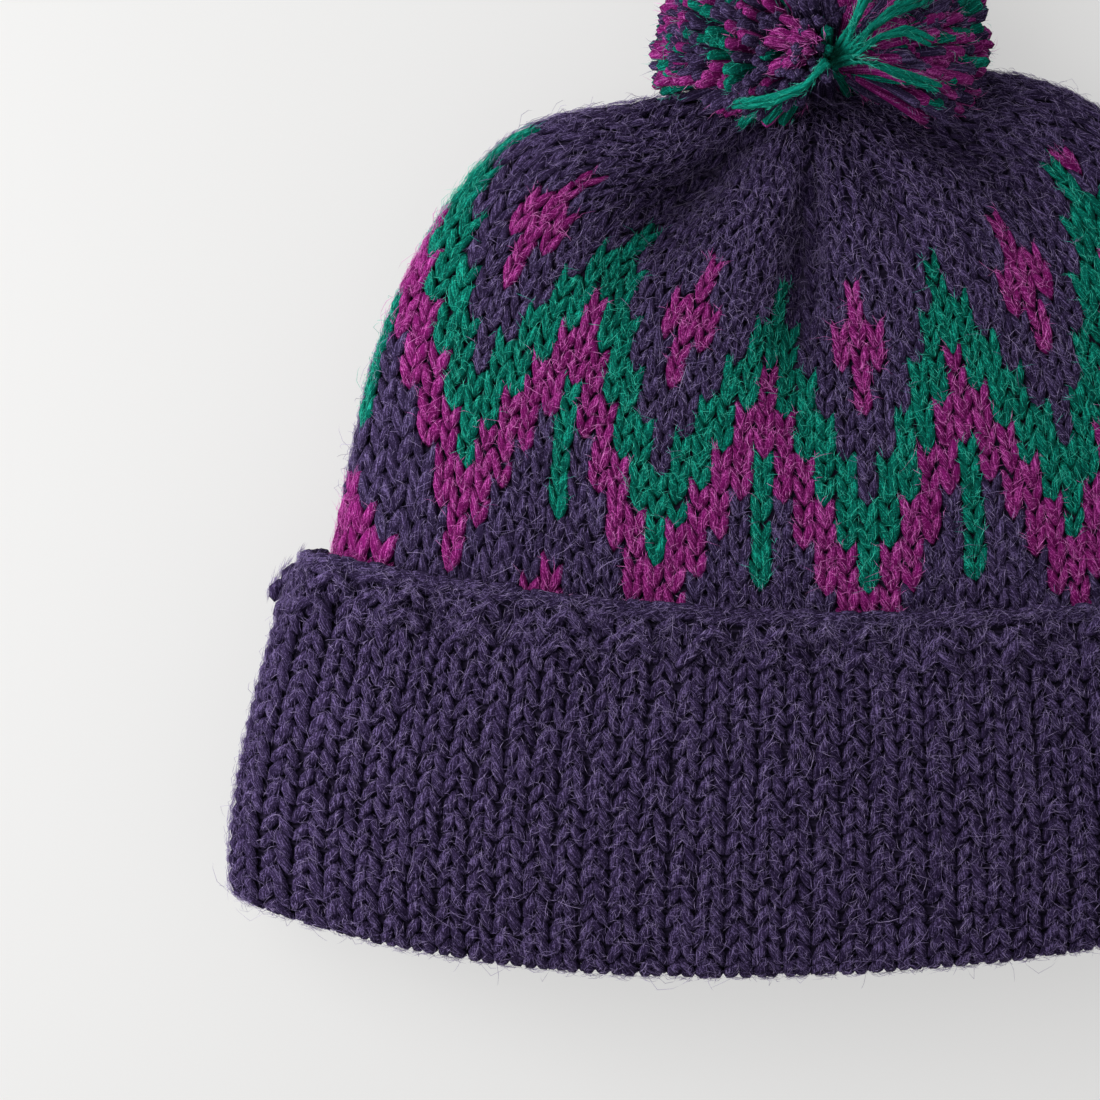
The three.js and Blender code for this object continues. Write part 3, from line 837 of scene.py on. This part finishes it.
def makeTie():
    routes = []
    for places in tieEnds:
        middle = smoothRoute([pompom["knot"]] + [onPompom(*place) for place in places], tieForm["steps"])
        first, second = sideways(unit(np.gradient(middle, axis=0)))
        turn = np.linspace(0, tieForm["turns"] * math.tau, len(middle))[:, None]
        for side in (0, math.pi):
            offset = np.cos(turn + side) * first + np.sin(turn + side) * second
            routes.append(middle + offset * tieForm["apart"])
    turn = np.linspace(0, math.tau * tieForm["knotTurns"], tieForm["steps"])[:, None]
    upright = np.array((0.0, tieForm["knotLean"], 1.0))
    for tilt in tieForm["knotTilts"]:        # the knot's own turns
        flat = np.array((math.cos(tilt), math.sin(tilt), tieForm["knotLean"]))
        ring = np.cos(turn) * flat + np.sin(turn) * upright
        routes.append(pompom["knot"] + ring * (tieForm["knot"] - tieForm["strand"]) * tieForm["knotPull"])
    x, y, t = tieGrain["points"].T
    steps = np.arange(tieForm["steps"])
    place = (t * 0.5 + 0.5) * steps[-1]
    points = []
    for route in routes:
        first, second = sideways(unit(np.gradient(route, axis=0)))
        spot, across, out = [np.column_stack([np.interp(place, steps, column) for column in values.T])
                             for values in (route, first, second)]
        points.append(spot + tieForm["strand"] * (x[:, None] * across + y[:, None] * out))
    tones = rng.uniform(*tieForm["tones"], len(points))
    piece = joinGrains("tieYarn", tieGrain, inFrame(np.array(points)), tones)
    finishPiece(piece, tieWool, "pompom_tie")
    return routes


tieRoutes = makeTie()
print("tie made")

# Loose fibres: a short nap that follows the yarn and flyaways that stand off it; lengths are gamma spreads
nap = {"grain": makeGrain(3, 2), "swing": 0.7, "length": (6.0, 0.4), "longest": 5.0, "rise": 0.12,
       "radius": 0.05, "curl": 0.4}
flyaway = {"grain": makeGrain(3, 4), "swing": 2.0, "length": (4.0, 0.9), "longest": 7.0, "rise": 0.3,
           "radius": 0.045, "curl": 0.45}
fibreForm = {"root": 0.3, "bow": (0.55, 1.0), "sizes": (0.7, 1.2), "darkest": 0.2, "alongLeg": (-0.8, 0.8),
             "acrossLeg": (-0.35, 0.35), "legTop": 0.85, "fromEnd": (0.5, 7.0), "tieLean": 0.4, "tieStart": 3}
# How the knitting faces, from -1 down to 1 up, and its share of fibres: most stand out at the sides
fuzzRows = np.array(((-0.41, 0.0), (-0.4, 0.4), (-0.1, 2.2), (0.5, 2.2), (0.75, 1.0)))


def layFuzz(name, node, kind, spots, normals, ways, names, paintedShadeFactor):
    count = len(spots)
    x, y, t = kind["grain"]["points"].T
    part = t * 0.5 + 0.5
    length = np.minimum(rng.gamma(*kind["length"], (count, 1)), kind["longest"])
    rise = rng.gamma(2.0, kind["rise"] / 2, (count, 1))
    lift = length * np.minimum(rise, 2 * kind["rise"])        # at most twice the mean
    lift = lift * np.sin(part * math.pi * rng.uniform(*fibreForm["bow"], (count, 1)))
    side = length * rng.normal(0, kind["curl"], (count, 1)) * part * part
    radius = kind["radius"] * rng.uniform(*fibreForm["sizes"], (count, 1))
    points = spots[:, None] + (length * (part - fibreForm["root"]))[..., None] * ways[:, None]
    points = points + (lift + y * radius)[..., None] * normals[:, None]
    points = points + (side + x * radius)[..., None] * np.cross(normals, ways)[:, None]
    light, pale = [np.array([yarns[yarn][key] for yarn in names]) for key in ("light", "pale")]
    tint = light + (pale - light) * rng.uniform(0, 1, (count, 1)) ** 2
    # painted shade from the folds darkens the tint, no lower than the darkest share
    tint = tint * np.maximum(paintedShadeFactor, fibreForm["darkest"])[:, None]
    piece = joinGrains(name, kind["grain"], inFrame(points), None, tint)
    finishPiece(piece, looseFibre, node)


def turned(normals, ways, spread):        # directions swung about the surface's normal
    turn = rng.normal(0, spread, (len(ways), 1))
    return unit(np.cos(turn) * ways + np.sin(turn) * np.cross(normals, ways))


def fuzzOnCells(name, node, kind, cells, form, flip, count):
    share = np.interp(cells["normal"][:, 2], *fuzzRows.T)
    chosen = rng.choice(len(share), count, p=share / share.sum())
    side = rng.choice((-1, 1), (count, 1))
    t = rng.uniform(*fibreForm["alongLeg"], (count, 1))
    off = rng.uniform(*fibreForm["acrossLeg"], (count, 1))
    a = side * (form["offset"] + flip * form["lean"] * t) + off * form["width"]
    across, up, normal = cells["across"][chosen], cells["up"][chosen], cells["normal"][chosen]
    height = form["lift"] + form["thick"] * fibreForm["legTop"] - form["sink"] * t * t
    spots = cells["middle"][chosen] + a * across + t * form["length"] / 2 * up + height * normal
    ways = unit(side * flip * form["lean"] * across + form["length"] / 2 * up)
    ways = turned(normal, ways - (ways * normal).sum(1, keepdims=True) * normal, kind["swing"])
    # painted shade: fibres down in the folds are tinted darker
    paintedShadeFactor = 1 - foldShade["fibre"] * cells["sunk"][chosen]
    layFuzz(name, node, kind, spots, normal, ways, cells["yarn"][chosen], paintedShadeFactor)


def fuzzOnPompom(name, kind, count, lean):        # off the last few mm of its strands
    chosen = rng.integers(0, len(pompomNames), count)
    ways = unit(pompomWays[chosen] + rng.normal(0, lean, (count, 3)))
    out = unit(np.cross(ways, rng.normal(0, 1, (count, 3))))
    back = rng.uniform(*fibreForm["fromEnd"], (count, 1))
    spots = pompomEnds[chosen] - pompomWays[chosen] * back + out * pompom["yarn"]
    layFuzz(name, "pompom", kind, spots, out, ways, pompomNames[chosen], np.ones(count))


def fuzzOnTie(name, kind, count):        # off its doubled ends, past the knot
    ends = np.array(tieRoutes[:2 * len(tieEnds)])
    chosen = rng.integers(0, len(ends), count)
    step = rng.integers(fibreForm["tieStart"], tieForm["steps"] - 1, count)
    spots, after = ends[chosen, step], ends[chosen, step + 1]
    ways = unit(after - spots + rng.normal(0, fibreForm["tieLean"], (count, 3)))
    out = unit(np.cross(ways, rng.normal(0, 1, (count, 3))))
    names = np.full(count, "green")
    layFuzz(name, "pompom_tie", kind, spots + out * tieForm["strand"], out, ways, names, np.ones(count))


cuffCells["yarn"] = np.full(len(cuffCells["row"]), "purple")
knitFuzz = (        # piece, node, kind of fibre, stitches, their legs and which way up, number of fibres
    ("crownNap", "crown", nap, crownCells, legForm, 1, 27000),
    ("cuffNap", "cuff", nap, cuffCells, cuffLeg, -1, 22000),
    ("ridgeNap", "cuff", nap, ridgeCells, knotLeg, -1, 2400),
    ("cordNap", "cuff", nap, cordCells, cordLeg, -1, 1600),
    ("crownFlyaways", "crown", flyaway, crownCells, legForm, 1, 1500),
    ("cuffFlyaways", "cuff", flyaway, cuffCells, cuffLeg, -1, 1500),
)
for row in knitFuzz:
    fuzzOnCells(*row)
fuzzOnPompom("pompomNap", nap, count=16000, lean=0.4)
fuzzOnPompom("pompomFlyaways", flyaway, count=700, lean=0.8)
fuzzOnTie("tieNap", nap, count=700)
print("loose fibres laid")

# Table, light and camera
stageForm = {"albedo": colour(0.28, 0.279, 0.276), "glow": colour(1.0, 0.996, 0.988), "glowStrength": 0.512,
             "size": 3.0, "sky": colour(1.0, 1.0, 1.0), "skyStrength": 0.46}
paleTable = Finish("paleTable").surface(
    Base_Color=stageForm["albedo"], Roughness=0.8, Specular_IOR_Level=0.1,
    Emission_Color=stageForm["glow"], Emission_Strength=stageForm["glowStrength"])
tableMesh = bpy.data.meshes.new("table")
bm = bmesh.new()
bmesh.ops.create_grid(bm, x_segments=4, y_segments=4, size=stageForm["size"])
bm.to_mesh(tableMesh)
bm.free()
table = bpy.data.objects.new("table", tableMesh)
table.data.materials.append(paleTable)
scene.collection.objects.link(table)


lights = (        # in metres and watts
    {"name": "keyLight", "place": (-0.58, 0.16, 0.72), "target": (0.0, 0.0, 0.0),
     "size": 0.85, "watts": 5.9},
    {"name": "sideLight", "place": (-0.62, 0.06, 0.13), "target": (-0.1, 0.0, 0.03),
     "size": 0.3, "watts": 3.4},
)


def areaLight(name, place, target, size, watts):
    lamp = bpy.data.lights.new(name, "AREA")
    lamp.energy = watts
    lamp.size = size
    holder = bpy.data.objects.new(name, lamp)
    holder.location = place
    holder.rotation_euler = (Vector(target) - Vector(place)).to_track_quat("-Z", "Y").to_euler()
    scene.collection.objects.link(holder)


for light in lights:
    areaLight(**light)
world = bpy.data.worlds.new("studio")
world.use_nodes = True
sky = world.node_tree.nodes["Background"].inputs
sky["Color"].default_value = stageForm["sky"]
sky["Strength"].default_value = stageForm["skyStrength"]
scene.world = world
scene.view_settings.view_transform = "Standard"

# The photo's measures in pixels, and pixels to the mm at a height in mm
photo = {"side": 1100, "perMm": 4.5, "axisX": 820, "foldY": 981, "scaleHeight": 30.0}
lens = {"focal": 120.0, "sensor": 36.0}
camera = bpy.data.objects.new("camera", bpy.data.cameras.new("camera"))
camera.data.lens = lens["focal"]
camera.data.sensor_width = lens["sensor"]
viewWidth = photo["side"] / photo["perMm"]
camera.location = inFrame(np.array((
    (photo["side"] / 2 - photo["axisX"]) / photo["perMm"],
    (photo["foldY"] - photo["side"] / 2) / photo["perMm"],
    photo["scaleHeight"] + viewWidth * lens["focal"] / lens["sensor"],
)))
camera.data.clip_end = 20
scene.collection.objects.link(camera)
scene.camera = camera
